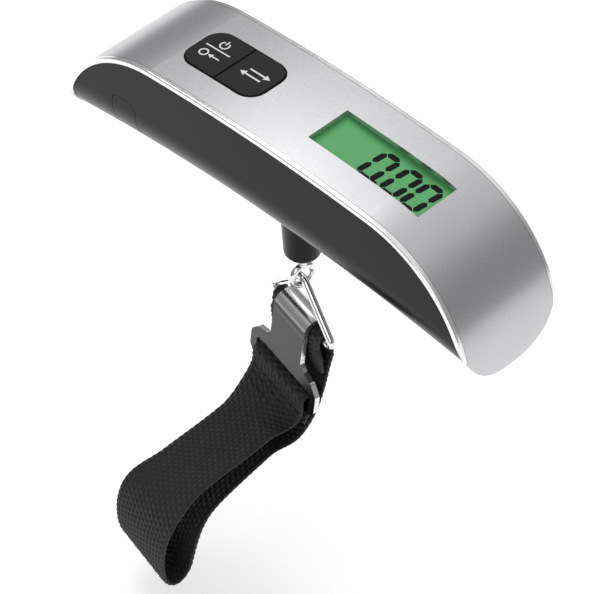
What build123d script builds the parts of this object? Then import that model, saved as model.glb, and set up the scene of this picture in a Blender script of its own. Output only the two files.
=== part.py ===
from build123d import *
import math
import os

# Digital luggage scale: a hand-held bar with a load cell inside and a webbing loop below.
# Frame: +Z up against the load, +X along the bar, -Y the side with the battery latch.
# Origin: on the load eye's axis, level with the lowest line of the bar's two ends.
# All sizes are in millimetres.

# Driving dimensions: the bar
BAR_LENGTH = 140.0
BAR_WIDTH = 33.0
BAR_TOP = 37.0
TOP_RADIUS = 523.0
END_RADIUS = 35.5
ARCH_RISE = 5.0
EDGE_ROUND = 15.0
SHELL = 1.3
TRIM_WIDTH = 1.3
SIDE_RECESS = 0.6
WALL = 1.6
GAP = 0.1

# Driving dimensions: display and keys
WINDOW_X = (8.4, 44.1)
WINDOW_WIDTH = 13.5
DISPLAY_DEPTH = 2.0
PAD_X = (-36.4, -9.9)
PAD_WIDTH = 15.4
PAD_CORNER = 5.0
KEY_GAP = 0.35
KEY_PROUD = 0.35
KEY_TRAVEL = 0.6
BOARD_TOP = 26.0
BOARD_THICK = 1.2

# Driving dimensions: battery bay
DOOR_X = (-62.0, -43.0)
DOOR_TOP = 9.2
TAB_X = (-51.5, -43.3)
TAB_TOP = 20.0
CELL_RADIUS = 10.0
CELL_THICK = 3.2
CELL_BOTTOM = 10.0
CELL_X = -52.0
DOOR_GAP = 0.15
HINGE_PIN = 0.5
HINGE_KNUCKLE = 1.1
HINGE_IN_WALL = 1.1
HINGE_SWEEP = 1.65
HINGE_Z = DOOR_TOP
TRAY_WALL = 1.2

# Driving dimensions: load cell
BEAM_X = (-6.0, 40.0)
BEAM_WIDTH = 11.0
BEAM_BOTTOM = 12.0
BEAM_THICK = 5.0
CELL_SCREW_X = (30.5, 36.5)
CELL_FOOT_X = (27.5, 39.5)
SPACER_THICK = 1.0
FLEX_HOLE = 1.7
FLEX_SLOT = 0.6
GAUGE_X = (12.0, 22.0)
GAUGE_SIZE = (5.0, 4.0, 0.15)

# Driving dimensions: load eye, ring, hook and webbing, in a frame turned by STRAP_TURN about Z
STRAP_TURN = -12.5
BOSS_BOTTOM = -12.0
BOSS_RADIUS = 4.9
STEM_RADIUS = 1.5
RUN_CLEARANCE = 0.05
EYE_Z = -19.7
EYE_MEAN = 3.15
EYE_WIRE = 0.95
RING_WIRE = 1.1
RING_HALF_BASE = 15.4
RING_TIP_Z = -20.55
RING_TIP_HALF = 1.0
RING_BAR_Z = -34.6
RING_TIP_BEND = 1.8
RING_CORNER_BEND = 1.3
PLATE = 1.4
FOLD_INNER = 2.85
HOOK_TILT = 6.5
WEB_WIDTH = 24.0
WEB_THICK = 1.4
SLOT_WIDTH = 25.2
NOTCH_HALF = 10.9
NOTCH_RADIUS = 3.1

# Driving dimensions: screws, posts and guides inside the bar
COLUMN_X = (-39.3, 57.0)
COLUMN_RADIUS = 2.6
COLUMN_BOTTOM = 9.6
SCREW_RADIUS = 1.2
SCREW_HEAD = (2.2, 1.5)
SCREW_SEAT = 2.6
RIB_THICK = 1.1
RIB_DEPTH = 1.7
RIB_X = (-48.0, 52.0)
BUSH_RADIUS = 3.0
BUSH_Z = (-11.0, -4.0)
LEDGE_X = (-60.5, 60.5)
BOARD_X = (-36.0, 53.0)
BOARD_HALF = 12.3
BOARD_POST_X = (-33.0, 50.0)
BOARD_POST_Y = (-8.5, 8.5)
BOARD_POST_RADIUS = 2.2
BOARD_SCREW_RADIUS = 0.9
SWITCH_SIZE = (6.0, 6.0, 2.6)
SWITCH_BUTTON = 1.5
SWITCH_RISE = 3.8
KEY_FLANGE = 0.8
KEY_SPLIT = 0.15
KEY_EASE = 0.3
GLASS = (40.0, 18.4, 1.8)
BACKLIGHT = (39.0, 14.6, 2.2)
CHIP_X = (-4.0, 3.0)
CHIP_HALF = 3.5
CHIP_PINS = 6

HALF = BAR_LENGTH / 2
TOP_CENTRE_Z = BAR_TOP - TOP_RADIUS
END_CENTRE_X = HALF - END_RADIUS
END_CENTRE_Z = TOP_CENTRE_Z + math.sqrt((TOP_RADIUS - END_RADIUS) ** 2 - END_CENTRE_X**2)
ARCH_RADIUS = (HALF**2 + ARCH_RISE**2) / (2 * ARCH_RISE)
ARCH_CENTRE_Z = ARCH_RISE - ARCH_RADIUS
BEAM_TOP = BEAM_BOTTOM + BEAM_THICK
BASE_WIDTH = BAR_WIDTH - 2 * SIDE_RECESS
SHELL_WIDTH = BAR_WIDTH - 2 * (TRIM_WIDTH + GAP)
PAD_CENTRE = (PAD_X[0] + PAD_X[1]) / 2
BOARD_BOTTOM = BOARD_TOP - BOARD_THICK
BOARD_POSTS = [(x, y) for x in BOARD_POST_X for y in BOARD_POST_Y]
SWITCH_TOP = BOARD_TOP + SWITCH_RISE
KEY_X = {"power": (PAD_X[0], PAD_CENTRE), "unit": (PAD_CENTRE, PAD_X[1])}
OVER = 2 * BAR_WIDTH


# ---------------------------------------------------------------- helpers
def box(x, y, z):
    """A box from three (low, high) pairs."""
    size = [high - low for low, high in (x, y, z)]
    centre = [(high + low) / 2 for low, high in (x, y, z)]
    return Pos(*centre) * Box(*size)


def post(radius, x, y, z):
    """A round post along Z, from z[0] to z[1]."""
    return Pos(x, y, (z[0] + z[1]) / 2) * Cylinder(radius, z[1] - z[0])


def group(solids):
    """Separate solids kept together in one node."""
    return Compound(children=list(solids))


def save(name, shape, turn=0.0):
    """Write one node, turned about Z if it belongs to the strap."""
    export_step(Rot(0, 0, turn) * shape if turn else shape, os.path.join("parts", name + ".step"))


def top_z(x, inset=0.0):
    """Height of the bar's upper outline at x, moved inwards by inset."""
    join_x = END_CENTRE_X * (TOP_RADIUS - inset) / (TOP_RADIUS - END_RADIUS)
    if abs(x) < join_x:
        return TOP_CENTRE_Z + math.sqrt((TOP_RADIUS - inset) ** 2 - x**2)
    return END_CENTRE_Z + math.sqrt((END_RADIUS - inset) ** 2 - (abs(x) - END_CENTRE_X) ** 2)


def arch_z(x, inset=0.0):
    """Height of the arched underside at x, moved inwards by inset."""
    return ARCH_CENTRE_Z + math.sqrt((ARCH_RADIUS + inset) ** 2 - x**2)


def end_corner(inset_top, inset_low):
    """Where an end arc meets the underside's arc."""
    r1, r2 = END_RADIUS - inset_top, ARCH_RADIUS + inset_low
    dx, dz = END_CENTRE_X, END_CENTRE_Z - ARCH_CENTRE_Z
    d = math.hypot(dx, dz)
    along = (r2**2 - r1**2 + d**2) / (2 * d)
    off = math.sqrt(r2**2 - along**2)
    return (along * dx + off * dz) / d, ARCH_CENTRE_Z + (along * dz - off * dx) / d


def bar_face(inset_top=0.0, inset_low=0.0):
    """The bar's side outline: crown arc, two end arcs and the arched underside."""
    top_r, end_r = TOP_RADIUS - inset_top, END_RADIUS - inset_top
    join_x = END_CENTRE_X * top_r / (TOP_RADIUS - END_RADIUS)
    join = (join_x, TOP_CENTRE_Z + math.sqrt(top_r**2 - join_x**2))
    corner = end_corner(inset_top, inset_low)
    start = math.atan2(join[1] - END_CENTRE_Z, join[0] - END_CENTRE_X)
    stop = math.atan2(corner[1] - END_CENTRE_Z, corner[0] - END_CENTRE_X)
    mid = (start + stop) / 2
    bend = (END_CENTRE_X + end_r * math.cos(mid), END_CENTRE_Z + end_r * math.sin(mid))

    def left(point):
        return -point[0], point[1]

    edges = [
        ThreePointArc(left(join), (0, BAR_TOP - inset_top), join),
        ThreePointArc(join, bend, corner),
        ThreePointArc(corner, (0, ARCH_RISE + inset_low), left(corner)),
        ThreePointArc(left(corner), left(bend), left(join)),
    ]
    return make_face(edges)


def underside_round(width, inset_low, radius):
    """A U section with rounded lower corners, turned along the underside's arc."""
    low = ARCH_RISE + inset_low
    section = Pos(0, low + 30) * Rectangle(width, 60)
    section = fillet(section.vertices().group_by(Axis.Y)[0], radius=radius)
    axis = Axis((0, 0, ARCH_CENTRE_Z), (0, 1, 0))
    sweep_angle = 20
    solid = revolve(Plane.YZ * section, axis, sweep_angle)
    return solid.rotate(axis, -sweep_angle / 2)


def bar_solid(width, inset_top=0.0, inset_low=0.0, round_low=0.0):
    """The outline drawn out to a width, with its two lower long edges rounded."""
    solid = extrude(Plane.XZ * bar_face(inset_top, inset_low), amount=width / 2, both=True)
    if round_low:
        solid = solid & underside_round(width, inset_low, round_low)
    return solid


# ---------------------------------------------------------------- shell, trims and base
HULL = bar_solid(BAR_WIDTH, round_low=EDGE_ROUND)


def pad_face(shrink):
    """The key opening's rounded outline, shrunk all round."""
    width = PAD_X[1] - PAD_X[0] - 2 * shrink
    return RectangleRounded(width, PAD_WIDTH - 2 * shrink, PAD_CORNER - shrink)


def strip(low, high):
    """A slab between two insets of the crown and end arcs, wider than the bar."""
    outer = bar_solid(OVER, low, 0)
    inner = bar_solid(OVER + 2, high, 0)
    below = box((high - HALF, HALF - high), (-OVER, OVER), (-30, END_CENTRE_Z))
    return outer - inner - below


def top_shell():
    band = strip(0, SHELL) & HULL & box((-HALF, HALF), (-SHELL_WIDTH / 2, SHELL_WIDTH / 2), (-5, 50))
    band -= box(WINDOW_X, (-WINDOW_WIDTH / 2, WINDOW_WIDTH / 2), (20, 50))
    band -= Pos(PAD_CENTRE, 0, 20) * extrude(pad_face(0), amount=30)
    inside = bar_solid(OVER, SHELL - 0.01, 0)
    for side in (-1, 1):
        y = side * (BASE_WIDTH / 2 - WALL - GAP - RIB_THICK / 2)
        rib = box(RIB_X, (y - RIB_THICK / 2, y + RIB_THICK / 2), (20, 50))
        band += (rib & inside) - bar_solid(OVER, SHELL + RIB_DEPTH + 1.3, 0)
    for x in COLUMN_X:
        column = post(COLUMN_RADIUS, x, 0, (COLUMN_BOTTOM, 50)) & inside
        band += column - post(SCREW_RADIUS, x, 0, (0, COLUMN_BOTTOM + 12))
    return band


def side_trim(side):
    """A bright bead along the crown and both ends, with its outer edge eased."""
    y = sorted((side * (BAR_WIDTH / 2 - TRIM_WIDTH), side * BAR_WIDTH / 2))
    bead = strip(0, SHELL) & HULL & box((-HALF, HALF), y, (-5, 50))
    crown = [e for e in bead.edges() if e.position_at(0.5).Z > BAR_TOP - 0.1 and e.length > 60]
    outer = [e for e in crown if abs(abs(e.position_at(0.5).Y) - BAR_WIDTH / 2) < 0.01]
    return fillet(outer, radius=0.45)


def boss():
    """The round cup below the bar that guides the load eye's stem."""
    with BuildSketch(Plane.XZ) as outline:
        with BuildLine():
            Line((0, BOSS_BOTTOM), (BOSS_RADIUS - 1.8, BOSS_BOTTOM))
            RadiusArc((BOSS_RADIUS - 1.8, BOSS_BOTTOM), (BOSS_RADIUS, BOSS_BOTTOM + 1.8), -1.8)
            Line((BOSS_RADIUS, BOSS_BOTTOM + 1.8), (BOSS_RADIUS + 0.6, 0))
            ThreePointArc((BOSS_RADIUS + 0.6, 0), (BOSS_RADIUS + 1.5, 4.2), (BOSS_RADIUS + 4, 7.5))
            Line((BOSS_RADIUS + 4, 7.5), (0, 7.5))
            Line((0, 7.5), (0, BOSS_BOTTOM))
        make_face()
    return revolve(outline.sketch, Axis.Z, 360)


def door_region(grow=0.0):
    """The space that the battery door and its side tab fill, grown all round."""
    x = (DOOR_X[0] - grow, DOOR_X[1] + grow)
    panel = box(x, (-OVER / 2, OVER / 2), (-10, DOOR_TOP + grow))
    tab_x = (TAB_X[0] - grow, TAB_X[1] + grow)
    tab = box(tab_x, (-OVER / 2, 0), (0, TAB_TOP + grow))
    corners = [e for e in tab.edges() if abs(e.position_at(0.5).Z - TAB_TOP - grow) < 0.01]
    round_corners = [e for e in tab.edges().filter_by(Axis.Y) if e in corners]
    return panel + fillet(round_corners, radius=2.2 + grow)


def base_outer():
    inset = SHELL + GAP
    return bar_solid(BASE_WIDTH, inset, 0, EDGE_ROUND - SIDE_RECESS)


def base_inner():
    return bar_solid(BASE_WIDTH - 2 * WALL, SHELL + GAP + WALL, WALL, EDGE_ROUND - SIDE_RECESS - WALL)


def base_housing():
    inner = base_inner()
    mouth = box(LEDGE_X, (-BASE_WIDTH / 2 + WALL, BASE_WIDTH / 2 - WALL), (20, 50))
    tub = base_outer() - inner - mouth
    body = tub + (boss() - inner)
    foot_half = BEAM_WIDTH / 2 + 1
    body += box(CELL_FOOT_X, (-foot_half, foot_half), (4, BEAM_BOTTOM - SPACER_THICK)) & base_outer()
    for x, y in BOARD_POSTS:
        body += post(BOARD_POST_RADIUS, x, y, (6, BOARD_BOTTOM)) & bar_solid(BASE_WIDTH, 5, 0.5, EDGE_ROUND - 1)
    for x in COLUMN_X:
        pad = post(3.6, x, 0, (0, COLUMN_BOTTOM - GAP)) & base_outer()
        body += pad
        body -= post(SCREW_RADIUS + 0.2, x, 0, (-5, COLUMN_BOTTOM))
        body -= post(SCREW_HEAD[0] + 0.3, x, 0, (-5, arch_z(x) + SCREW_SEAT))
    body -= post(2.2, 0, 0, (BUSH_Z[1], 20))
    body -= post(BUSH_RADIUS, 0, 0, BUSH_Z)
    body -= post(STEM_RADIUS + 0.6, 0, 0, (BOSS_BOTTOM - 1, BUSH_Z[0] + 0.5))
    for x in CELL_SCREW_X:
        body -= post(1.3, x, 0, (7.4, BEAM_BOTTOM))
    for x, y in BOARD_POSTS:
        body -= post(BOARD_SCREW_RADIUS, x, y, (BOARD_BOTTOM - 7, BOARD_BOTTOM + 1))
    body -= door_region(DOOR_GAP)
    body -= door_axis(HINGE_SWEEP, (DOOR_X[0] - DOOR_GAP, DOOR_X[1] + DOOR_GAP))
    return body - door_pin()


# ---------------------------------------------------------------- battery bay
def hinge_y():
    """The hinge axis lies a set depth inside the rounded wall, level with the door's top."""
    round_radius = EDGE_ROUND - SIDE_RECESS
    middle = (DOOR_X[0] + DOOR_X[1]) / 2
    drop = arch_z(middle) + round_radius - HINGE_Z
    return BASE_WIDTH / 2 - round_radius + math.sqrt((round_radius - HINGE_IN_WALL) ** 2 - drop**2)


def door_axis(radius, x):
    """A round bar along the door's hinge axis."""
    length = x[1] - x[0]
    return Pos((x[0] + x[1]) / 2, hinge_y(), HINGE_Z) * Rot(0, 90, 0) * Cylinder(radius, length)


def door_pin():
    return door_axis(HINGE_PIN, (DOOR_X[0] - 1.6, DOOR_X[1] + 1.6))


def battery_door():
    """Wrap-round door with a finger tab on the latch side and a hinge knuckle opposite."""
    door = (base_outer() - base_inner()) & door_region(0)
    eased = box(DOOR_X, (hinge_y(), BAR_WIDTH), (HINGE_Z - 2 * HINGE_SWEEP, HINGE_Z))
    door -= eased - door_axis(HINGE_SWEEP - DOOR_GAP, DOOR_X)
    door += door_axis(HINGE_KNUCKLE, DOOR_X)
    return door - door_axis(HINGE_PIN + RUN_CLEARANCE, (-70, 0))


def battery_tray():
    cup = post(CELL_RADIUS + TRAY_WALL, CELL_X, 0, (CELL_BOTTOM - 0.4, CELL_BOTTOM + CELL_THICK + 2.2))
    cup -= post(CELL_RADIUS + 0.2, CELL_X, 0, (0, CELL_BOTTOM + CELL_THICK + 1.0))
    cup -= box((CELL_X - 3, CELL_X + 3), (-20, -5), (0, CELL_BOTTOM + 1.5))
    cup -= box((-43.1, -30), (-20, 20), (0, 30))
    arm_z = (CELL_BOTTOM + CELL_THICK + 1.0, CELL_BOTTOM + CELL_THICK + 2.2)
    arms = box((CELL_X - 4, CELL_X + 4), (-CELL_RADIUS, 13.9), arm_z)
    return cup + arms


def battery_cell():
    can = post(CELL_RADIUS, CELL_X, 0, (CELL_BOTTOM, CELL_BOTTOM + CELL_THICK - 0.5))
    can = fillet(can.edges().group_by(Axis.Z)[0], radius=0.4)
    cap = post(CELL_RADIUS - 1.2, CELL_X, 0, (CELL_BOTTOM + CELL_THICK - 0.5, CELL_BOTTOM + CELL_THICK))
    return can + cap


def contact_minus():
    top = CELL_BOTTOM + CELL_THICK
    leaf = box((CELL_X - 5, CELL_X + 5), (-2, 2), (top + 0.1, top + 0.4))
    rise = box((CELL_X + 4.7, CELL_X + 5), (-2, 2), (top + 0.1, top + 0.95))
    return leaf + rise


def contact_plus():
    y = CELL_RADIUS + TRAY_WALL
    z = (CELL_BOTTOM + 0.4, CELL_BOTTOM + CELL_THICK + 0.9)
    return box((CELL_X - 3, CELL_X + 3), (y, y + 0.3), z)


# ---------------------------------------------------------------- board and display
def circuit_board():
    board = box(BOARD_X, (-BOARD_HALF, BOARD_HALF), (BOARD_BOTTOM, BOARD_TOP))
    for x, y in BOARD_POSTS:
        board -= post(1.1, x, y, (20, 30))
    return board - post(COLUMN_RADIUS + 0.4, COLUMN_X[0], 0, (20, 30))


def board_screws():
    screws = []
    for x, y in BOARD_POSTS:
        head = post(1.8, x, y, (BOARD_TOP, BOARD_TOP + 1.2))
        head -= box((x - 1.1, x + 1.1), (y - 0.25, y + 0.25), (BOARD_TOP + 0.7, 40))
        screws.append(head + post(BOARD_SCREW_RADIUS, x, y, (BOARD_BOTTOM - 6, BOARD_TOP)))
    return group(screws)


DISPLAY_X = (WINDOW_X[0] + WINDOW_X[1]) / 2
DISPLAY_DROP = top_z(WINDOW_X[0]) - top_z(WINDOW_X[1])
DISPLAY_TILT = math.degrees(math.atan2(DISPLAY_DROP, WINDOW_X[1] - WINDOW_X[0]))
DISPLAY_TOP = (top_z(WINDOW_X[0]) + top_z(WINDOW_X[1])) / 2 - DISPLAY_DEPTH
DISPLAY_PLANE = Pos(DISPLAY_X, 0, DISPLAY_TOP) * Rot(0, DISPLAY_TILT, 0)


def display_glass():
    half_x, half_y = GLASS[0] / 2, GLASS[1] / 2
    return DISPLAY_PLANE * box((-half_x, half_x), (-half_y, half_y), (-GLASS[2], 0))


def backlight():
    z = (-GLASS[2] - BACKLIGHT[2] - 0.05, -GLASS[2] - 0.05)
    plate = box((-BACKLIGHT[0] / 2, BACKLIGHT[0] / 2), (-BACKLIGHT[1] / 2, BACKLIGHT[1] / 2), z)
    return DISPLAY_PLANE * plate


def display_frame():
    """Carrier that stands on the board and holds the backlight and the glass."""
    x, y = GLASS[0] / 2 + 0.1, GLASS[1] / 2 + 0.1
    outer = DISPLAY_PLANE * box((-x - 1.2, x + 1.2), (-y - 1.2, y + 1.2), (-15, -0.6))
    seat = DISPLAY_PLANE * box((-x, x), (-y, y), (-GLASS[2] - BACKLIGHT[2] - 0.1, 1))
    below = DISPLAY_PLANE * box((-x + 2, x - 2), (-y, y), (-20, 1))
    return outer - seat - below - box((-60, 60), (-30, 30), (0, BOARD_TOP))


def contact_strips():
    """Two conductive rubber strips between the glass ledges and the board."""
    strips = []
    for side in (-1, 1):
        y = sorted((side * (GLASS[1] / 2 - 1.5), side * (GLASS[1] / 2 - 0.2)))
        rubber = DISPLAY_PLANE * box((-16, 16), y, (-15, -GLASS[2] - 0.02))
        strips.append(rubber - box((-60, 60), (-30, 30), (0, BOARD_TOP)))
    return group(strips)


def controller_chip():
    """A small package on the board with pins along both sides."""
    body = box(CHIP_X, (-CHIP_HALF, CHIP_HALF), (BOARD_TOP + 0.1, BOARD_TOP + 1.5))
    pin_half = CHIP_HALF + 1.1
    for index in range(CHIP_PINS):
        x = CHIP_X[0] + 1 + index
        body += box((x - 0.2, x + 0.2), (-pin_half, pin_half), (BOARD_TOP, BOARD_TOP + 0.5))
    return body


# ---------------------------------------------------------------- keys
def key_prism(shrink):
    return Pos(PAD_CENTRE, 0, 20) * extrude(pad_face(shrink), amount=30)


def key_cap(name):
    """A cap that fills half of the key opening, with a flange under the shell and a plunger."""
    low, high = KEY_X[name]
    half = box((low - 2, high - KEY_SPLIT), (-20, 20), (0, 60))
    if name == "unit":
        half = box((low + KEY_SPLIT, high + 2), (-20, 20), (0, 60))
    cap = key_prism(KEY_GAP) & bar_solid(OVER, -KEY_PROUD, 0) & half
    cap -= bar_solid(OVER, SHELL + 1.2, 0)
    rim = [e for e in cap.edges() if e.position_at(0.5).Z > top_z(e.position_at(0.5).X) + 0.2]
    cap = fillet(rim, radius=KEY_EASE)
    skirt = key_prism(-0.8) & bar_solid(OVER, SHELL + 0.15, 0) & half
    skirt -= bar_solid(OVER, SHELL + 0.15 + KEY_FLANGE, 0)
    skirt -= post(COLUMN_RADIUS + 0.3, COLUMN_X[0], 0, (0, 60))
    x = (low + high) / 2
    plunger = post(1.6, x, 0, (SWITCH_TOP + KEY_TRAVEL + 0.05, 34.5))
    return cap + skirt + plunger


def key_switches():
    switches = []
    for low, high in KEY_X.values():
        x = (low + high) / 2
        half_x, half_y = SWITCH_SIZE[0] / 2, SWITCH_SIZE[1] / 2
        case = box((x - half_x, x + half_x), (-half_y, half_y), (BOARD_TOP, BOARD_TOP + SWITCH_SIZE[2]))
        switches.append(case + post(SWITCH_BUTTON, x, 0, (BOARD_TOP + SWITCH_SIZE[2] - 0.1, SWITCH_TOP)))
    return group(switches)


# ---------------------------------------------------------------- load cell
def load_beam():
    beam = box(BEAM_X, (-BEAM_WIDTH / 2, BEAM_WIDTH / 2), (BEAM_BOTTOM, BEAM_TOP))
    middle = (BEAM_BOTTOM + BEAM_TOP) / 2
    for x in GAUGE_X:
        beam -= Pos(x, 0, middle) * Rot(90, 0, 0) * Cylinder(FLEX_HOLE, 20)
    beam -= box(GAUGE_X, (-10, 10), (middle - FLEX_SLOT, middle + FLEX_SLOT))
    for x in CELL_SCREW_X:
        beam -= post(1.6, x, 0, (0, 30))
    return beam - post(STEM_RADIUS + 0.1, 0, 0, (0, 30))


def beam_spacer():
    half_y = BEAM_WIDTH / 2 + 0.5
    plate = box(CELL_FOOT_X, (-half_y, half_y), (BEAM_BOTTOM - SPACER_THICK, BEAM_BOTTOM))
    for x in CELL_SCREW_X:
        plate -= post(1.6, x, 0, (0, 30))
    return plate


def beam_screws():
    screws = []
    for x in CELL_SCREW_X:
        head = post(2.6, x, 0, (BEAM_TOP, BEAM_TOP + 2.0))
        head -= Pos(x, 0, BEAM_TOP + 1.5) * Box(3.6, 0.7, 1.2)
        head -= Pos(x, 0, BEAM_TOP + 1.5) * Box(0.7, 3.6, 1.2)
        screws.append(head + post(1.3, x, 0, (8.0, BEAM_TOP)))
    return group(screws)


def strain_gauges():
    gauges = []
    half_x, half_y, thick = GAUGE_SIZE[0] / 2, GAUGE_SIZE[1] / 2, GAUGE_SIZE[2]
    for x in GAUGE_X:
        for z in (BEAM_TOP, BEAM_BOTTOM - thick):
            gauges.append(box((x - half_x, x + half_x), (-half_y, half_y), (z, z + thick)))
    return group(gauges)


def wire(points, radius, bend):
    """A round wire along straight runs and tangent arcs."""
    path = FilletPolyline(*points, radius=bend)
    start = Plane(origin=path @ 0, z_dir=path % 0)
    return sweep(start * Circle(radius), path=path)


def gauge_wires():
    """Four wires from the gauges to the board's near edge."""
    wires = []
    starts = [(x, z) for z in (BEAM_TOP + 0.55, BEAM_BOTTOM - 0.55) for x in GAUGE_X]
    for index, (x, z) in enumerate(starts):
        y = 6.6 + 0.9 * index
        edge = y + 0.2 * index
        lift = BOARD_BOTTOM - 0.4
        points = [(x, 1.2, z), (x, edge, z), (x - 6, edge, z + 2), (x - 6, edge, lift)]
        wires.append(wire(points, 0.35, 0.8))
    return group(wires)


def battery_wires():
    """Two leads from the contacts, past the screw column, up to the board's left edge."""
    top = CELL_BOTTOM + CELL_THICK + 3.0
    routes = [
        [(-46.6, 2.8, top), (-46.6, 2.8, top + 2.5), (-41.0, 5.0, top + 3.5), (-31.0, 5.0, top + 4.5)],
        [(-50.0, 12.0, top), (-50.0, 12.0, top + 3), (-42.0, 6.0, top + 6), (-28.0, 3.2, top + 6.5)],
    ]
    for route in routes:
        route.append((route[-1][0], route[-1][1], BOARD_BOTTOM - 0.2))
    return group([wire(route, 0.4, 0.7) for route in routes])


def housing_screws():
    screws = []
    for x in COLUMN_X:
        seat = arch_z(x) + SCREW_SEAT
        head = post(SCREW_HEAD[0], x, 0, (seat - SCREW_HEAD[1], seat))
        head -= Pos(x, 0, seat - 1.4) * Box(3.0, 0.6, 1.2)
        head -= Pos(x, 0, seat - 1.4) * Box(0.6, 3.0, 1.2)
        screws.append(head + post(SCREW_RADIUS, x, 0, (seat, COLUMN_BOTTOM + 8)))
    return group(screws)


# ---------------------------------------------------------------- load eye
def eye_bush():
    bush = post(BUSH_RADIUS, 0, 0, BUSH_Z)
    return bush - post(STEM_RADIUS + RUN_CLEARANCE, 0, 0, (BUSH_Z[0] - 1, BUSH_Z[1] + 1))


def load_eye():
    loop = Pos(0, 0, EYE_Z) * Rot(0, 90, 0) * Rot(0, 0, 45) * Torus(EYE_MEAN, EYE_WIRE)
    neck_z = EYE_Z + EYE_MEAN - 0.1
    neck = Pos(0, 0, neck_z + 1.6) * Cone(EYE_WIRE + 0.1, STEM_RADIUS, 3.2)
    stem = post(STEM_RADIUS, 0, 0, (neck_z + 3.2, BEAM_TOP + 5.4))
    return loop + (neck + stem)


def eye_washer():
    z = (BEAM_TOP, BEAM_TOP + 0.8)
    return post(3.6, 0, 0, z) - post(STEM_RADIUS + 0.1, 0, 0, (z[0] - 1, z[1] + 1))


def eye_nut():
    z = BEAM_TOP + 0.9
    nut = Pos(0, 0, z) * extrude(RegularPolygon(3.1, 6), amount=2.8)
    return nut - post(STEM_RADIUS, 0, 0, (z - 1, z + 4))


# ---------------------------------------------------------------- ring, hook and webbing
def forward(n, z, w=0.0):
    """A point in the strap's own frame: n forwards, z up, w along the ring's bar."""
    return w, -n, z


def triangle_ring():
    """Closed wire triangle: a long lower bar and a short straight tip that hangs in the eye."""
    points = [
        forward(0, RING_BAR_Z, RING_HALF_BASE),
        forward(0, RING_TIP_Z, RING_TIP_HALF),
        forward(0, RING_TIP_Z, -RING_TIP_HALF),
        forward(0, RING_BAR_Z, -RING_HALF_BASE),
    ]
    bends = [RING_CORNER_BEND, RING_TIP_BEND, RING_TIP_BEND, RING_CORNER_BEND]
    loop = FilletPolyline(*points, radius=bends, close=True)
    start = Plane(origin=loop @ 0, z_dir=loop % 0)
    return sweep(start * Circle(RING_WIRE), path=loop)


FOLD_Z = RING_BAR_Z + 0.2
FOLD_N = 0.05
FOLD_MEAN = FOLD_INNER + PLATE / 2
HOOK_BOTTOM = -56.3
SLOT_Z = (-53.3, -49.4)
LIP_Z = FOLD_Z - 1.6


def hook_outline():
    """Front view of the hook: a narrow head that flares into two rounded ears."""
    right = [
        (7.1, -20),
        (7.1, -43.6),
        (9.0, -45.4),
        (12.6, -46.2),
        (15.4, -49.0),
        (15.4, -54.2),
        (13.2, HOOK_BOTTOM),
    ]
    left = [(-x, z) for x, z in reversed(right)]
    face = make_face(Polyline(*right, *left, right[0]))
    body = extrude(Plane.XZ * face, amount=30, both=True)
    lengthwise = body.edges().filter_by(Axis.Y)
    ears = [e for e in lengthwise if e.position_at(0.5).Z < -46]
    body = fillet(ears, radius=1.6)
    waist = [e for e in body.edges().filter_by(Axis.Y) if -46 < e.position_at(0.5).Z < -43]
    return fillet(waist, radius=0.9)


def hook_plate():
    """Pressed plate: a fold that hangs over the ring's bar, a face, and a slotted foot."""
    lean = math.tan(math.radians(HOOK_TILT))
    front = FOLD_N + FOLD_MEAN
    foot = front + lean * (FOLD_Z - HOOK_BOTTOM + 1)
    back = FOLD_N - FOLD_MEAN
    points = [
        forward(back, LIP_Z),
        forward(back, FOLD_Z + FOLD_MEAN),
        forward(front, FOLD_Z + FOLD_MEAN),
        forward(front, FOLD_Z - 0.6),
        forward(foot, HOOK_BOTTOM - 1),
    ]
    path = FilletPolyline(*points, radius=[FOLD_MEAN - 0.01, FOLD_MEAN - 0.01, 2.0])
    start = Plane(origin=path @ 0, z_dir=path % 0, x_dir=(1, 0, 0))
    sheet = sweep(start * Rectangle(40, PLATE), path=path)
    plate = sheet & hook_outline()
    slot = box((-SLOT_WIDTH / 2, SLOT_WIDTH / 2), (-20, 20), SLOT_Z)
    slot = fillet(slot.edges().filter_by(Axis.Y), radius=1.2)
    return plate - slot


def webbing_route():
    """Centre line of the webbing in the strap's frame, from its sewn tail to the ring's bar."""
    bar_wrap = RING_WIRE + 0.1 + WEB_THICK / 2
    points = [
        (6.9, -61.2),
        (5.9, -58.2),
        (4.1, -56.2),
        (3.75, -52.2),
        (7.6, -52.2),
        (7.8, -57.4),
        (13.6, -63.4),
        (24.0, -67.6),
        (34.0, -71.2),
        (43.4, -75.2),
        (47.6, -83.0),
        (47.2, -96.6),
        (38.8, -96.6),
        (36.8, -84.6),
        (27.6, -77.4),
        (17.6, -71.6),
        (8.0, -66.0),
        (2.4, -57.4),
        (-0.4, -44.6),
        (-bar_wrap, -39.0),
        (-bar_wrap, RING_BAR_Z + bar_wrap),
        (bar_wrap, RING_BAR_Z + bar_wrap),
        (bar_wrap, -39.0),
        (1.45, -44.8),
    ]
    return points


def bend_radii(points):
    """The largest tangent arc that each corner of a route has room for."""
    radii = []
    for before, here, after in zip(points, points[1:], points[2:]):
        first = Vector(here[0] - before[0], here[1] - before[1])
        second = Vector(after[0] - here[0], after[1] - here[1])
        turn = math.radians(first.get_angle(second))
        run = min(first.length, second.length)
        radii.append(0.47 * run / math.tan(turn / 2))
    return radii


def webbing_loop():
    points = webbing_route()
    path = FilletPolyline(*[forward(n, z) for n, z in points], radius=bend_radii(points))
    start = Plane(origin=path @ 0, z_dir=path % 0, x_dir=(1, 0, 0))
    band = sweep(start * Rectangle(WEB_WIDTH, WEB_THICK), path=path)
    for side in (-1, 1):
        notch = Rot(0, 90, 0) * Cylinder(NOTCH_RADIUS, 4)
        band -= Pos(side * (NOTCH_HALF + 2), 0, RING_BAR_Z) * notch
    return band


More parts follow.
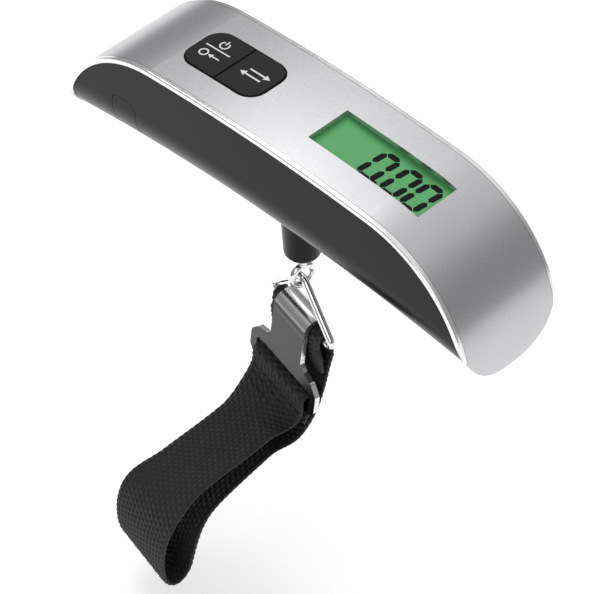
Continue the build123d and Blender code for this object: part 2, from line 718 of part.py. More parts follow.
# ---------------------------------------------------------------- write every node
os.makedirs("parts", exist_ok=True)
save("top_shell", top_shell())
save("trim_front", side_trim(-1))
save("trim_back", side_trim(1))
save("base_housing", base_housing())
save("battery_door", battery_door())
save("door_hinge_pin", door_pin())
save("battery_tray", battery_tray())
save("battery_cell", battery_cell())
save("battery_contact_minus", contact_minus())
save("battery_contact_plus", contact_plus())
save("battery_wires", battery_wires())
save("circuit_board", circuit_board())
save("board_screws", board_screws())
save("controller_chip", controller_chip())
save("display_glass", display_glass())
save("display_backlight", backlight())
save("display_frame", display_frame())
save("display_contact_strips", contact_strips())
save("power_key", key_cap("power"))
save("unit_key", key_cap("unit"))
save("key_switches", key_switches())
save("load_beam", load_beam())
save("beam_spacer", beam_spacer())
save("beam_screws", beam_screws())
save("strain_gauges", strain_gauges())
save("gauge_wires", gauge_wires())
save("housing_screws", housing_screws())
save("eye_bush", eye_bush())
save("load_eye", load_eye(), STRAP_TURN)
save("eye_washer", eye_washer())
save("eye_nut", eye_nut(), STRAP_TURN)
save("triangle_ring", triangle_ring(), STRAP_TURN)
save("hook_plate", hook_plate(), STRAP_TURN)
save("webbing_loop", webbing_loop(), STRAP_TURN)
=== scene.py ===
import bpy
import bmesh
import math
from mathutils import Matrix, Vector, noise


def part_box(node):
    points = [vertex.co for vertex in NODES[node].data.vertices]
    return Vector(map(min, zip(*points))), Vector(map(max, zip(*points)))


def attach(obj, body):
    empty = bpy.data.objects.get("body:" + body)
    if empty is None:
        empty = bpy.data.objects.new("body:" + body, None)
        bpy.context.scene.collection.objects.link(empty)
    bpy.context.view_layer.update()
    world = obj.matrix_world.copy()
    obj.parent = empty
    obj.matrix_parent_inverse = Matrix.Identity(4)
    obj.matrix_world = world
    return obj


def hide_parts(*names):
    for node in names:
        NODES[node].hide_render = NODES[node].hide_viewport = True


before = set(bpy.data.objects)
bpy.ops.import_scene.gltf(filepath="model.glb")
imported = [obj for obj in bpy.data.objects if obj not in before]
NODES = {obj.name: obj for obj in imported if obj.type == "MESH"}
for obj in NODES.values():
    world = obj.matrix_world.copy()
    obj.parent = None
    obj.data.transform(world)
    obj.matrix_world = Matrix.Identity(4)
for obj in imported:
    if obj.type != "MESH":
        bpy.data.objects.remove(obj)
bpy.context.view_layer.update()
MM = 0.001

# ---------------------------------------------------------------- driving values, from the frame
STRAP_TURN = math.radians(-12.5)
HOOK_TILT = math.radians(6.5)
TOP_RADIUS = 523 * MM
BAR_TOP = Vector(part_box("top_shell")[1]).z
GLASS_LOW, GLASS_HIGH = [Vector(c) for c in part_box("display_glass")]
GLASS_MIDDLE = (GLASS_LOW + GLASS_HIGH) / 2
GLASS_THICK = 1.8 * MM
POWER_LOW, POWER_HIGH = [Vector(c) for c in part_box("power_key")]
UNIT_LOW, UNIT_HIGH = [Vector(c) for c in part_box("unit_key")]

# Depths that the materials' bump stands for
MARK_DEPTH = 0.02 * MM
PEEL_DEPTH = 0.03 * MM
YARN_DEPTH = 0.06 * MM


def crown_z(x):
    """Height of the bar's crown at x."""
    return BAR_TOP - TOP_RADIUS + math.sqrt(TOP_RADIUS**2 - x**2)


def strap_point(w, n, z):
    """From the strap's own frame (w along the ring's bar, n forwards) to the part's frame."""
    c, s = math.cos(STRAP_TURN), math.sin(STRAP_TURN)
    return Vector((w * c + n * s, w * s - n * c, z))


# ---------------------------------------------------------------- node-tree helpers
class Tree:
    """A material's node tree with short calls for adding and joining nodes."""

    def __init__(self, name):
        self.mat = bpy.data.materials.new(name)
        self.mat.use_nodes = True
        self.nodes = self.mat.node_tree.nodes
        self.links = self.mat.node_tree.links
        self.shader = self.nodes["Principled BSDF"]

    def add(self, kind, inputs=None, **settings):
        node = self.nodes.new("ShaderNode" + kind)
        for key, value in settings.items():
            setattr(node, key, value)
        for key, value in (inputs or {}).items():
            self.feed(node.inputs[key], value)
        return node

    def feed(self, socket, value):
        if isinstance(value, bpy.types.NodeSocket):
            self.links.new(value, socket)
        else:
            socket.default_value = value

    def set(self, **values):
        for key, value in values.items():
            self.feed(self.shader.inputs[key.replace("_", " ")], value)

    def coords(self, scale=(1, 1, 1)):
        where = self.add("TexCoord").outputs["Object"]
        return self.add("Mapping", {"Vector": where, "Scale": scale}).outputs["Vector"]

    def noise(self, scale, detail, vector=None):
        if vector is None:
            vector = self.coords()
        inputs = {"Scale": scale, "Detail": detail, "Vector": vector}
        return self.add("TexNoise", inputs).outputs["Fac"]

    def ramp(self, fac, stops):
        node = self.add("ValToRGB", {"Fac": fac})
        while len(node.color_ramp.elements) < len(stops):
            node.color_ramp.elements.new(0.5)
        for element, (place, colour) in zip(node.color_ramp.elements, stops):
            element.position = place
            element.color = (*colour, 1)
        return node.outputs["Color"]

    def span(self, value, low, high, new_low, new_high):
        inputs = {"Value": value, "From Min": low, "From Max": high}
        inputs.update({"To Min": new_low, "To Max": new_high})
        return self.add("MapRange", inputs).outputs["Result"]

    def math(self, operation, a, b=0.0):
        node = self.add("Math", operation=operation)
        self.feed(node.inputs[0], a)
        self.feed(node.inputs[1], b)
        return node.outputs[0]

    def mix(self, first, first_share, second, second_share):
        """The sum of two values, each times its share."""
        scaled = self.math("MULTIPLY", first, first_share)
        return self.math("ADD", scaled, self.math("MULTIPLY", second, second_share))

    def bump(self, height, strength, distance):
        inputs = {"Height": height, "Strength": strength, "Distance": distance}
        return self.add("Bump", inputs).outputs["Normal"]


def grey(value, tint=(1.0, 1.0, 1.0)):
    return tuple(value * t for t in tint)


# ---------------------------------------------------------------- materials
def silver_paint():
    """Satin metallic paint: fine flake in the colour, a faint orange-peel bump."""
    tree = Tree("silver_paint")
    flake = tree.noise(9000, 2)
    broad = tree.noise(45, 2)
    cool = (1, 1, 1.02)
    mixed = tree.mix(flake, 0.75, broad, 0.25)
    colour = tree.ramp(mixed, [(0.3, grey(0.50, cool)), (0.7, grey(0.62, cool))])
    peel = tree.noise(1800, 2)
    tree.set(Base_Color=colour, Metallic=0.82, Roughness=tree.span(flake, 0.2, 0.8, 0.24, 0.33))
    tree.set(Normal=tree.bump(peel, 0.05, PEEL_DEPTH))
    return tree.mat


def bright_trim():
    """Plated bead, rubbed along its length."""
    tree = Tree("bright_trim")
    rub = tree.noise(900, 3, tree.coords((0.25, 4, 4)))
    colour = tree.ramp(rub, [(0.3, grey(0.82)), (0.7, grey(0.93))])
    tree.set(Base_Color=colour, Metallic=0.9, Roughness=tree.span(rub, 0.2, 0.8, 0.12, 0.24))
    tree.set(Normal=tree.bump(rub, 0.03, MARK_DEPTH))
    return tree.mat


def moulded(name, dark, light, rough, grain=5200, gloss=0.5):
    """Moulded plastic: spark-eroded grain, slight flow variation in colour and sheen."""
    tree = Tree(name)
    fine = tree.noise(grain, 3)
    flow = tree.noise(60, 3, tree.coords((0.4, 1, 1)))
    tree.set(Base_Color=tree.ramp(flow, [(0.3, dark), (0.75, light)]))
    tree.set(Roughness=tree.span(flow, 0.25, 0.75, rough[0], rough[1]))
    tree.set(Specular_IOR_Level=gloss, Normal=tree.bump(fine, 0.12, MARK_DEPTH))
    return tree.mat


def metal(name, low, high, rough, stretch=(1, 1, 1), scale=1400, bump=0.05):
    """Plated or machined metal with fine drawn marks."""
    tree = Tree(name)
    marks = tree.noise(scale, 4, tree.coords(stretch))
    smear = tree.noise(160, 3)
    tree.set(Base_Color=tree.ramp(smear, [(0.3, low), (0.7, high)]), Metallic=1.0)
    tree.set(Roughness=tree.span(marks, 0.25, 0.75, rough[0], rough[1]))
    tree.set(Normal=tree.bump(marks, bump, MARK_DEPTH))
    return tree.mat


def plate_material():
    """Pressed plate: dark nickel on its flat face, with a painted highlight on the cut edges and the
    fold, light wherever the surface turns away from the flat face.
    """
    tree = Tree("pressed_plate")
    normal = tree.add("TexCoord").outputs["Normal"]
    face = strap_point(0, math.cos(HOOK_TILT), math.sin(HOOK_TILT))
    facing = tree.add("VectorMath", {0: normal, 1: face}, operation="DOT_PRODUCT").outputs["Value"]
    marks = tree.noise(900, 4, tree.coords((3, 3, 0.6)))
    # Painted highlight: the colour turns light on the cut edges and round the fold, where the surface
    # faces away from the plate's flat face.
    level = tree.math("ADD", tree.math("ABSOLUTE", facing), tree.math("MULTIPLY", marks, 0.02))
    painted_edge_highlight, nickel = [(0.0, grey(0.8)), (0.9, grey(0.7))], [(0.985, grey(0.075)), (1.0, grey(0.06))]
    colour = tree.ramp(level, painted_edge_highlight + nickel)
    tree.set(Base_Color=colour, Metallic=1.0, Roughness=tree.span(marks, 0.25, 0.75, 0.14, 0.28))
    tree.set(Normal=tree.bump(marks, 0.05, MARK_DEPTH))
    return tree.mat


def lcd_material():
    """Backlit display: green glow, evener in the middle, with painted shade darkening it along its edges
    where the window's recess walls fall.
    """
    tree = Tree("lcd_green")
    where = tree.add("TexCoord").outputs["Object"]
    split = tree.add("SeparateXYZ", {"Vector": where})
    # Painted shade: the glass darkens towards its edges, inside the window's rim, and stands in for the
    # shade of the recess walls.
    edges = []
    for axis, middle, start, stop in (("X", GLASS_MIDDLE.x, 15.5, 18.0), ("Y", GLASS_MIDDLE.y, 4.5, 6.8)):
        off = tree.math("ABSOLUTE", tree.math("SUBTRACT", split.outputs[axis], middle))
        edges.append(tree.span(off, start * MM, stop * MM, 0.0, 1.0))
    edge = tree.math("MAXIMUM", *edges)
    fac = tree.mix(edge, 0.55, tree.noise(220, 2), 0.25)
    greens_and_edge_shade = [(0.0, (0.075, 0.27, 0.10)), (0.45, (0.062, 0.235, 0.085)), (1.0, (0.03, 0.12, 0.045))]
    colour = tree.ramp(fac, greens_and_edge_shade)
    tree.set(Base_Color=colour, Roughness=0.22, Emission_Color=colour, Emission_Strength=0.5)
    tree.set(Specular_IOR_Level=0.25)
    return tree.mat


def ink(name, colour, rough):
    """Printed ink of slightly uneven density."""
    tree = Tree(name)
    grain = tree.noise(4000, 2)
    dark = tuple(0.86 * c for c in colour)
    tree.set(Base_Color=tree.ramp(grain, [(0.3, dark), (0.7, colour)]), Roughness=rough)
    tree.set(Specular_IOR_Level=0.15)
    return tree.mat


def webbing_material(name, low, high):
    """Black polyester: yarn sheen and lint over the woven relief, which the mesh carries."""
    tree = Tree(name)
    yarn = tree.noise(5200, 3)
    lint = tree.noise(700, 4)
    tree.set(Base_Color=tree.ramp(tree.mix(yarn, 0.6, lint, 0.4), [(0.35, low), (0.68, high)]))
    tree.set(Roughness=tree.span(yarn, 0.2, 0.8, 0.5, 0.78), Sheen_Weight=0.04, Sheen_Roughness=0.45)
    tree.set(Normal=tree.bump(yarn, 0.4, YARN_DEPTH))
    return tree.mat


SILVER = silver_paint()
TRIM = bright_trim()
BLACK = moulded("black_gloss", grey(0.003), grey(0.006, (1.0, 0.9, 1.0)), (0.2, 0.3), gloss=0.15)
KEY_TINT = (0.97, 0.98, 1.06)
KEYS = moulded("key_black", grey(0.007), grey(0.011, KEY_TINT), (0.38, 0.5), grain=7000, gloss=0.2)
NATURAL = moulded("natural_plastic", grey(0.55), grey(0.68, (1, 1, 0.95)), (0.35, 0.5))
CHIP = moulded("chip_black", grey(0.015), grey(0.03), (0.5, 0.65))
BOARD = moulded("board_green", (0.008, 0.11, 0.045), (0.015, 0.17, 0.07), (0.25, 0.4), grain=900)
RUBBER = moulded("contact_rubber", (0.3, 0.08, 0.08), (0.42, 0.12, 0.12), (0.55, 0.7))
WIRE = moulded("wire_red", (0.38, 0.02, 0.02), (0.5, 0.04, 0.03), (0.35, 0.5))
GAUGE = moulded("gauge_film", (0.4, 0.2, 0.03), (0.6, 0.33, 0.06), (0.2, 0.35))
GLOW = moulded("backlight_green", (0.1, 0.45, 0.18), (0.16, 0.6, 0.25), (0.4, 0.5))
CHROME = metal("chrome_plate", grey(0.74), grey(0.84), (0.05, 0.13), scale=500, bump=0.03)
PLATE = plate_material()
STEEL = metal("zinc_steel", grey(0.5), grey(0.62, (1, 1, 0.97)), (0.22, 0.4))
ALU = metal("milled_aluminium", grey(0.66), grey(0.78), (0.25, 0.4), (0.2, 6, 6), 1500, 0.1)
LCD = lcd_material()
SEGMENT = ink("segment_black", (0.002, 0.003, 0.002), 0.6)
WHITE = ink("print_white", (0.8, 0.8, 0.8), 0.45)
WEB = webbing_material("webbing_black", grey(0.002), grey(0.009))
THREAD = webbing_material("stitch_thread", grey(0.006), grey(0.022))

NODE_MATERIALS = {
    "top_shell": SILVER,
    "trim_front": TRIM,
    "trim_back": TRIM,
    "base_housing": BLACK,
    "battery_door": BLACK,
    "door_hinge_pin": STEEL,
    "battery_tray": NATURAL,
    "battery_cell": STEEL,
    "battery_contact_minus": STEEL,
    "battery_contact_plus": STEEL,
    "battery_wires": WIRE,
    "circuit_board": BOARD,
    "board_screws": STEEL,
    "controller_chip": CHIP,
    "display_glass": LCD,
    "display_backlight": GLOW,
    "display_frame": NATURAL,
    "display_contact_strips": RUBBER,
    "power_key": KEYS,
    "unit_key": KEYS,
    "key_switches": CHIP,
    "load_beam": ALU,
    "beam_spacer": STEEL,
    "beam_screws": STEEL,
    "strain_gauges": GAUGE,
    "gauge_wires": WIRE,
    "housing_screws": STEEL,
    "eye_bush": NATURAL,
    "load_eye": CHROME,
    "eye_washer": STEEL,
    "eye_nut": STEEL,
    "triangle_ring": CHROME,
    "hook_plate": PLATE,
}


def dress_nodes():
    """Give every CAD node that shows its material."""
    for name, material in NODE_MATERIALS.items():
        node = NODES[name]
        for slot in node.material_slots:
            slot.material = material
        if not node.material_slots:
            node.data.materials.append(material)


# ---------------------------------------------------------------- mesh helpers
def mesh_object(name, verts, faces, material, smooth=True):
    """A linked object from points and faces, with one material."""
    mesh = bpy.data.meshes.new(name)
    mesh.from_pydata([tuple(v) for v in verts], [], faces)
    mesh.update()
    made = bpy.data.objects.new(name, mesh)
    bpy.context.scene.collection.objects.link(made)
    mesh.materials.append(material)
    for polygon in mesh.polygons:
        polygon.use_smooth = smooth
    return made


def outward(piece):
    """Turn all of a closed piece's faces outwards."""
    bm = bmesh.new()
    bm.from_mesh(piece.data)
    bmesh.ops.recalc_face_normals(bm, faces=bm.faces)
    bm.to_mesh(piece.data)
    bm.free()
    return piece


def prism(name, outlines, place, thick, material):
    """Flat closed shapes, each drawn as an outline in its own plane, given a thickness."""
    verts, faces = [], []
    for outline in outlines:
        start, count = len(verts), len(outline)
        for lift in (0.0, thick):
            verts += [place(x, y, lift) for x, y in outline]
        faces.append(list(range(start + count, start + 2 * count)))
        faces.append(list(range(start + count - 1, start - 1, -1)))
        for i in range(count):
            j = (i + 1) % count
            faces.append([start + i, start + j, start + count + j, start + count + i])
    return outward(mesh_object(name, verts, faces, material, smooth=False))


def bar_outline(x0, y0, x1, y1):
    """A rectangle's corners."""
    return [(x0, y0), (x1, y0), (x1, y1), (x0, y1)]


# ---------------------------------------------------------------- display digits
DISPLAY_TILT = math.atan2(GLASS_HIGH.z - GLASS_LOW.z - GLASS_THICK, GLASS_HIGH.x - GLASS_LOW.x)
DIGIT = {"height": 9.6 * MM, "width": 4.2 * MM, "bar": 1.6 * MM, "slant": 0.1, "pitch": 6.5 * MM}
DIGIT_COUNT = 3
DIGITS_START = -3.6 * MM
SEGMENT_GAP = 0.16 * MM
POINT_OFFSET = 0.75 * MM
POINT_ROOM = 0.9 * MM
SEGMENT_THICK = 0.04 * MM
SEGMENTS_OF_ZERO = "abcdef"


def glass_point(x, y, lift):
    """A point on the tilted glass: x along the bar from its middle, y across."""
    along = math.cos(DISPLAY_TILT)
    drop = math.sin(DISPLAY_TILT)
    top = GLASS_MIDDLE.z + GLASS_THICK / 2 * along
    return Vector((GLASS_MIDDLE.x + x * along + lift * drop, y, top - x * drop + lift * along))


def segment_outline(kind, origin_x):
    """One bar of a seven-segment digit, with pointed ends, slanted like the rest."""
    h, w, t = DIGIT["height"], DIGIT["width"], DIGIT["bar"]
    half = h / 2
    ends = {
        "a": ((0, h), (w, h)),
        "b": ((w, h), (w, half)),
        "c": ((w, half), (w, 0)),
        "d": ((0, 0), (w, 0)),
        "e": ((0, half), (0, 0)),
        "f": ((0, h), (0, half)),
    }[kind]
    a, b = Vector(ends[0]), Vector(ends[1])
    along = (b - a).normalized()
    side = Vector((-along.y, along.x)) * t / 2
    a, b = a + along * SEGMENT_GAP, b - along * SEGMENT_GAP
    tip = t / 2
    near, far = a + along * tip, b - along * tip
    shape = [a, near + side, far + side, b, far - side, near - side]
    return [(origin_x + p.x + p.y * DIGIT["slant"], p.y - half) for p in shape]


def display_digits():
    """Three zeros with a point after the first."""
    outlines = []
    for place in range(DIGIT_COUNT):
        start = DIGITS_START + place * DIGIT["pitch"] + (POINT_ROOM if place else 0)
        outlines += [segment_outline(kind, start) for kind in SEGMENTS_OF_ZERO]
    dot = DIGIT["bar"]
    low = -DIGIT["height"] / 2 - dot / 2
    dot_x = DIGITS_START + DIGIT["width"] + POINT_OFFSET - DIGIT["slant"] * DIGIT["height"] / 2
    outlines.append(bar_outline(dot_x, low, dot_x + dot, low + dot))
    digits = prism("display_digits", outlines, glass_point, SEGMENT_THICK, SEGMENT)
    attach(digits, "bar")


# ---------------------------------------------------------------- key symbols
KEY_PROUD = 0.35 * MM
PRINT_SUNK = 0.01 * MM
PRINT_THICK = 0.05 * MM
STROKE = 0.42


def key_point(centre_x):
    """Places a flat drawing on the keys' curved top, its middle at centre_x."""

    def place(x, y, lift):
        px = centre_x + x
        return Vector((px, y, crown_z(px) + KEY_PROUD + lift - PRINT_SUNK))

    return place


def ring_arc(radius, width, start, stop, steps, centre=(0, 0)):
    """Outline of part of a flat ring, angles in degrees."""
    outer, inner = [], []
    for i in range(steps + 1):
        angle = math.radians(start + (stop - start) * i / steps)
        direction = (math.cos(angle), math.sin(angle))
        for side, line in ((1, outer), (-1, inner)):
            r = radius + side * width / 2
            line.append((centre[0] + r * direction[0], centre[1] + r * direction[1]))
    return outer + inner[::-1]


def arrow(tip_x, back_x, y, half):
    """An arrowhead's corners."""
    return [(tip_x, y), (back_x, y + half), (back_x, y - half)]


def print_symbol(name, outlines, centre_x, body):
    """Print outlines, in millimetres, on a key."""
    scaled = [[(x * MM, y * MM) for x, y in outline] for outline in outlines]
    symbol = prism(name, scaled, key_point(centre_x), PRINT_THICK, WHITE)
    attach(symbol, body)


def power_symbol():
    """A power sign over a rule and a return-to-zero mark."""
    marks = [
        ring_arc(1.25, STROKE, 125, 415, 26, (0, 3.1)),
        bar_outline(-STROKE / 2, 3.3, STROKE / 2, 4.9),
        bar_outline(-4.1, 0.55, 4.1, 0.95),
        ring_arc(1.15, STROKE, 0, 360, 30, (-2.2, -2.0)),
        bar_outline(0.1, -2.2, 3.1, -1.8),
        arrow(-0.7, 0.7, -2.0, 0.75),
    ]
    print_symbol("power_symbol", marks, (POWER_LOW.x + POWER_HIGH.x) / 2 + 0.3 * MM, "power_button")


def unit_symbol():
    """Two arrows that point opposite ways."""
    swap = []
    for sign in (1, -1):
        swap.append(bar_outline(-2.6, sign - 0.25, 2.6, sign + 0.25))
        swap.append(arrow(sign * 4.1, sign * 2.4, sign, 0.95))
    print_symbol("unit_symbol", swap, (UNIT_LOW.x + UNIT_HIGH.x) / 2 - 0.2 * MM, "unit_button")


# ---------------------------------------------------------------- webbing
WEB_WIDTH = 24 * MM
WEB_THICK = 1.4 * MM
NOTCH_HALF = 10.8 * MM
YARN_PITCH = 1.6 * MM
RIB_PITCH = 1.75 * MM
WEAVE_HEIGHT = 0.48 * MM
WEAVE_SUNK = 0.36 * MM
WEAVE_ORIGIN = 40 * MM
SELVEDGE = 0.9 * MM
TWIST = 4.3 * MM
CUP = 0.25 * MM
CUP_PITCH = 9 * MM
WAVE = 0.2 * MM
WAVE_SCALE = (60, 90)
WAVE_SEED = 3.7
WEB_STEP = 0.22 * MM
WEB_ACROSS = 110

# Where the webbing is narrow (below the plate's fold) and where it twists, in millimetres
NARROW_DEPTH = (29, 30.5, 37.0, 39.5)
TWIST_REACH = (7.5, 18, 36, 52)
TWIST_BELOW = -50

# Stitches through the two layers below the plate's slot, on the webbing's front
STITCH = {"length": 1.7 * MM, "gap": 0.7 * MM, "radius": 0.26 * MM, "arch": 0.16 * MM, "sunk": 0.05 * MM}
STITCH_ROWS = (18.6 * MM, 21.0 * MM, 23.4 * MM)
STITCH_SPAN = 10.2 * MM
STITCH_STEPS = 6
STITCH_SIDES = 6

# The webbing's middle line from its tucked tail: forwards and up, in millimetres
WEB_ROUTE = [
    (6.9, -61.2),
    (5.9, -58.2),
    (4.1, -56.2),
    (3.9, -53.6),
    (4.3, -51.6),
    (5.9, -51.1),
    (7.5, -52.0),
    (7.6, -54.0),
    (7.8, -57.4),
    (10.4, -60.8),
    (15.0, -63.8),
    (24.0, -67.6),
    (34.0, -71.0),
    (42.4, -73.8),
    (48.0, -78.2),
    (50.8, -85.0),
    (51.2, -92.6),
    (50.2, -98.6),
    (46.6, -101.8),
    (43.2, -99.6),
    (41.8, -94.0),
    (39.6, -87.0),
    (35.6, -81.6),
    (28.0, -77.0),
    (17.6, -71.4),
    (8.8, -66.0),
    (4.6, -61.0),
    (2.2, -55.4),
    (0.4, -48.6),
    (-0.6, -43.6),
    (-1.9, -39.0),
    (-2.05, -34.6),
    (-1.45, -33.1),
    (0.0, -32.5),
    (1.45, -33.1),
    (2.05, -34.6),
    (1.9, -39.0),
    (1.45, -44.8),
]


def route_curve():
    """Points of a NURBS curve through the route, read back from the curve."""
    data = bpy.data.curves.new("web_route", "CURVE")
    data.dimensions = "3D"
    data.resolution_u = 24
    spline = data.splines.new("NURBS")
    spline.points.add(len(WEB_ROUTE) - 1)
    for point, (n, z) in zip(spline.points, WEB_ROUTE):
        point.co = (n * MM, z * MM, 0, 1)
    spline.order_u = 3
    spline.use_endpoint_u = True
    holder = bpy.data.objects.new("web_route", data)
    bpy.context.scene.collection.objects.link(holder)
    mesh = bpy.data.meshes.new_from_object(holder)
    line = [Vector((v.co.x, v.co.y)) for v in mesh.vertices]
    bpy.data.objects.remove(holder)
    bpy.data.meshes.remove(mesh)
    return line


def even_samples(line, spacing):
    """Points at even distances along a line, and the line's length."""
    lengths = [0.0]
    for a, b in zip(line, line[1:]):
        lengths.append(lengths[-1] + (b - a).length)
    count = round(lengths[-1] / spacing)
    samples, at = [], 0
    for i in range(count + 1):
        want = lengths[-1] * i / count
        while at < len(lengths) - 2 and lengths[at + 1] < want:
            at += 1
        step = lengths[at + 1] - lengths[at]
        t = 0 if step == 0 else (want - lengths[at]) / step
        samples.append(line[at].lerp(line[at + 1], t))
    return samples, lengths[-1]


def tangents_of(samples):
    """The line's direction at each sample."""
    last = len(samples) - 1
    steps = [samples[min(last, i + 1)] - samples[max(0, i - 1)] for i in range(last + 1)]
    return [step.normalized() for step in steps]


def across_of(tangent):
    """The direction out of the webbing's face, in the strap's own frame."""
    return Vector((tangent.y, -tangent.x))


def ease(t):
    """From 0 to 1 and level at both ends."""
    t = max(0.0, min(1.0, t))
    return t * t * (3 - 2 * t)


def bump_between(value, start, peak_start, peak_stop, stop):
    """A smooth hill: 0 outside start..stop and 1 from peak_start to peak_stop."""
    rise = ease((value - start) / (peak_start - start))
    return rise * (1 - ease((value - peak_stop) / (stop - peak_stop)))


def weave(s, w, fade):
    """Height of the weave: ribs across the webbing, broken by warp floats."""
    column = w / YARN_PITCH
    shift = 0.5 if int(math.floor(column)) % 2 else 0.0
    rib = abs(math.sin(math.pi * (s / RIB_PITCH + shift)))
    float_yarn = abs(math.sin(math.pi * column))
    return rib * (0.35 + 0.65 * float_yarn) * fade


def web_section(point, tangent, s):
    """The webbing's closed outline at a distance s along it: its front face, then its back."""
    n_mm, z_mm = point.x / MM, point.y / MM
    narrow = bump_between(-z_mm, *NARROW_DEPTH)
    half = WEB_WIDTH / 2 * (1 - narrow) + NOTCH_HALF * narrow
    twist = bump_between(n_mm, *TWIST_REACH) * (1 if z_mm < TWIST_BELOW else 0)
    section = []
    for side in (1, -1):
        for j in range(WEB_ACROSS + 1):
            u = j / WEB_ACROSS if side == 1 else 1 - j / WEB_ACROSS
            w = (2 * u - 1) * half
            edge = min(1.0, (1 - abs(2 * u - 1)) * half / SELVEDGE)
            edge = math.sqrt(max(0.0, 1 - (1 - edge) ** 2))
            depth = (WEB_THICK / 2 - WEAVE_SUNK) * (0.45 + 0.55 * edge)
            depth += weave(s, w + WEAVE_ORIGIN, edge) * WEAVE_HEIGHT
            roll = w / (WEB_WIDTH / 2)
            cup = CUP * math.sin(s / CUP_PITCH) * roll**2
            spot = Vector((s * WAVE_SCALE[0], w * WAVE_SCALE[1], WAVE_SEED))
            wave = WAVE * noise.noise(spot)
            offset = side * depth + (cup + wave) * (1 - narrow) * twist
            place = point + across_of(tangent) * offset
            section.append(strap_point(w, place.x, place.y + twist * roll * TWIST))
    return section


def tube_faces(sections, per):
    """Faces that join closed sections of per points each, one after the other."""
    faces = []
    for i in range(sections - 1):
        for j in range(per):
            k = (j + 1) % per
            faces.append([i * per + j, i * per + k, (i + 1) * per + k, (i + 1) * per + j])
    return faces


def build_webbing(samples, tangents, length):
    """The webbing as one closed band, twisted and woven, in place of its CAD solid."""
    last = len(samples) - 1
    verts = []
    for i, (point, tangent) in enumerate(zip(samples, tangents)):
        verts += web_section(point, tangent, length * i / last)
    per = 2 * (WEB_ACROSS + 1)
    faces = tube_faces(len(samples), per)
    for base in (0, last * per):
        for j in range(WEB_ACROSS):
            faces.append([base + j, base + j + 1, base + per - 2 - j, base + per - 1 - j])
    webbing = outward(mesh_object("webbing", verts, faces, WEB))
    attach(webbing, "strap")
    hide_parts("webbing_loop")


def stitch_points(point, tangent, w):
    """One raised stitch across the webbing: sections of a thread that dips at both ends."""
    points = []
    for i in range(STITCH_STEPS + 1):
        t = i / STITCH_STEPS
        arch = math.sin(math.pi * t)
        r = STITCH["radius"] * (0.45 + 0.55 * math.sqrt(arch))
        for k in range(STITCH_SIDES):
            angle = math.tau * k / STITCH_SIDES
            rise = WEB_THICK / 2 - STITCH["sunk"] + STITCH["arch"] * arch + math.sin(angle) * r * 0.6
            place = point + tangent * (math.cos(angle) * r) - across_of(tangent) * rise
            points.append(strap_point(w + STITCH["length"] * (t - 0.5), place.x, place.y))
    return points


def stitch_rows(samples, tangents, length):
    """Rows of stitches across the webbing where its two layers are sewn."""
    last = len(samples) - 1
    count = int(2 * STITCH_SPAN / (STITCH["length"] + STITCH["gap"]))
    verts, faces = [], []
    for s in STITCH_ROWS:
        at = round(s / length * last)
        for i in range(count + 1):
            start = len(verts)
            verts += stitch_points(samples[at], tangents[at], -STITCH_SPAN + 2 * STITCH_SPAN * i / count)
            ends = [range(STITCH_SIDES - 1, -1, -1)]
            ends.append(range(STITCH_STEPS * STITCH_SIDES, (STITCH_STEPS + 1) * STITCH_SIDES))
            for face in tube_faces(STITCH_STEPS + 1, STITCH_SIDES) + ends:
                faces.append([start + k for k in face])
    thread = outward(mesh_object("webbing_stitches", verts, faces, THREAD))
    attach(thread, "strap")


# ---------------------------------------------------------------- floor, light and camera
FLOOR = {"half": 2.2, "steps": 24, "z": -114 * MM}
WORLD_STRENGTH = 0.9
WORLD_TONES = [(0.0, 0.3), (0.4, 0.3), (0.52, 0.34), (0.66, 0.5), (0.8, 0.95), (1.0, 1.0)]
AREA_LIGHTS = [
    {"name": "key", "place": (-0.35, 0.15, 0.75), "aim": (0, 0, 0), "size": 0.5, "power": 2.6},
    {"name": "fill", "place": (0.5, -0.7, 0.45), "aim": (0, 0, -0.03), "size": 0.4, "power": 1.2},
]
CAMERA = {"azimuth": 44.57, "elevation": 43.6, "distance": 695.3 * MM, "lens": 168.9}
AIM_RIGHT, AIM_UP = -1.34 * MM, -19.58 * MM


def floor():
    """A pale floor a little below the hanging loop."""
    half, steps = FLOOR["half"], FLOOR["steps"]
    verts, faces = [], []
    for i in range(steps + 1):
        for j in range(steps + 1):
            verts.append((half * (2 * i / steps - 1), half * (2 * j / steps - 1), FLOOR["z"]))
    for i in range(steps):
        for j in range(steps):
            a = i * (steps + 1) + j
            faces.append([a, a + steps + 1, a + steps + 2, a + 1])
    tree = Tree("pale_floor")
    tone = tree.noise(3, 2)
    tree.set(Base_Color=tree.ramp(tone, [(0.3, grey(0.86)), (0.7, grey(0.88))]), Roughness=0.9)
    tree.set(Emission_Color=(1, 1, 1, 1), Emission_Strength=0.42)
    mesh_object("floor", verts, faces, tree.mat)


def area_light(name, place, aim, size, power):
    """A square light at a place, turned to its aim."""
    data = bpy.data.lights.new(name, "AREA")
    data.energy = power
    data.size = size
    lamp = bpy.data.objects.new(name, data)
    lamp.location = place
    lamp.rotation_euler = (Vector(aim) - Vector(place)).to_track_quat("-Z", "Y").to_euler()
    bpy.context.scene.collection.objects.link(lamp)


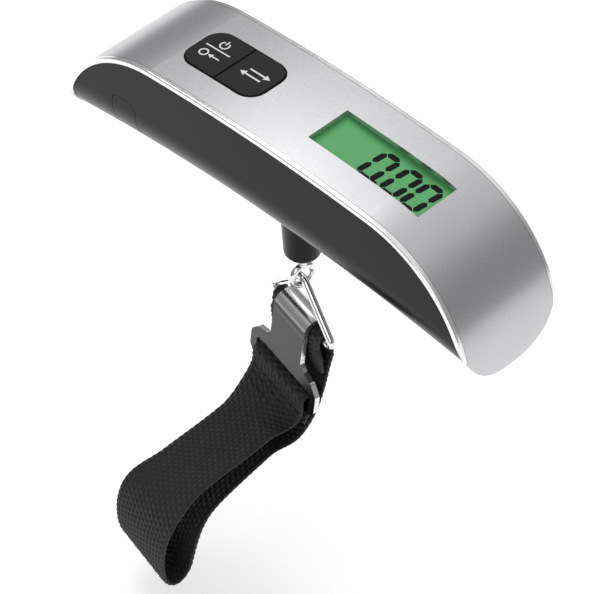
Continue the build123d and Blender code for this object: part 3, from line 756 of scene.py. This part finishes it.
def studio():
    """A white ceiling that darkens to grey at the horizon and below, and two area lights."""
    world = bpy.data.worlds.new("studio")
    bpy.context.scene.world = world
    world.use_nodes = True
    nodes, links = world.node_tree.nodes, world.node_tree.links
    back = nodes["Background"]
    where = nodes.new("ShaderNodeTexCoord")
    split = nodes.new("ShaderNodeSeparateXYZ")
    ramp = nodes.new("ShaderNodeValToRGB")
    links.new(where.outputs["Generated"], split.inputs[0])
    links.new(split.outputs["Z"], ramp.inputs["Fac"])
    links.new(ramp.outputs["Color"], back.inputs["Color"])
    while len(ramp.color_ramp.elements) < len(WORLD_TONES):
        ramp.color_ramp.elements.new(0.5)
    for element, (place, value) in zip(ramp.color_ramp.elements, WORLD_TONES):
        element.position = place
        element.color = (value, value, value * 1.01, 1)
    back.inputs["Strength"].default_value = WORLD_STRENGTH
    for light in AREA_LIGHTS:
        area_light(**light)


def camera():
    """The view of the bar from its front right, above, aimed a little below the origin."""
    azimuth, elevation = math.radians(CAMERA["azimuth"]), math.radians(CAMERA["elevation"])
    level = math.cos(elevation)
    back = Vector((math.sin(azimuth) * level, -math.cos(azimuth) * level, math.sin(elevation)))
    right = Vector((math.cos(azimuth), math.sin(azimuth), 0))
    aim = right * AIM_RIGHT + back.cross(right) * AIM_UP
    data = bpy.data.cameras.new("camera")
    data.sensor_width = 36
    data.lens = CAMERA["lens"]
    data.clip_start = 0.01
    data.clip_end = 20
    holder = bpy.data.objects.new("camera", data)
    holder.location = back * CAMERA["distance"]
    holder.rotation_euler = (holder.location - aim).to_track_quat("Z", "Y").to_euler()
    bpy.context.scene.collection.objects.link(holder)
    bpy.context.scene.camera = holder


# ---------------------------------------------------------------- build the scene
dress_nodes()
display_digits()
power_symbol()
unit_symbol()
WEB_LINE, WEB_LENGTH = even_samples(route_curve(), WEB_STEP)
WEB_TANGENTS = tangents_of(WEB_LINE)
build_webbing(WEB_LINE, WEB_TANGENTS, WEB_LENGTH)
stitch_rows(WEB_LINE, WEB_TANGENTS, WEB_LENGTH)
floor()
studio()
camera()
bpy.context.scene.view_settings.view_transform = "Standard"
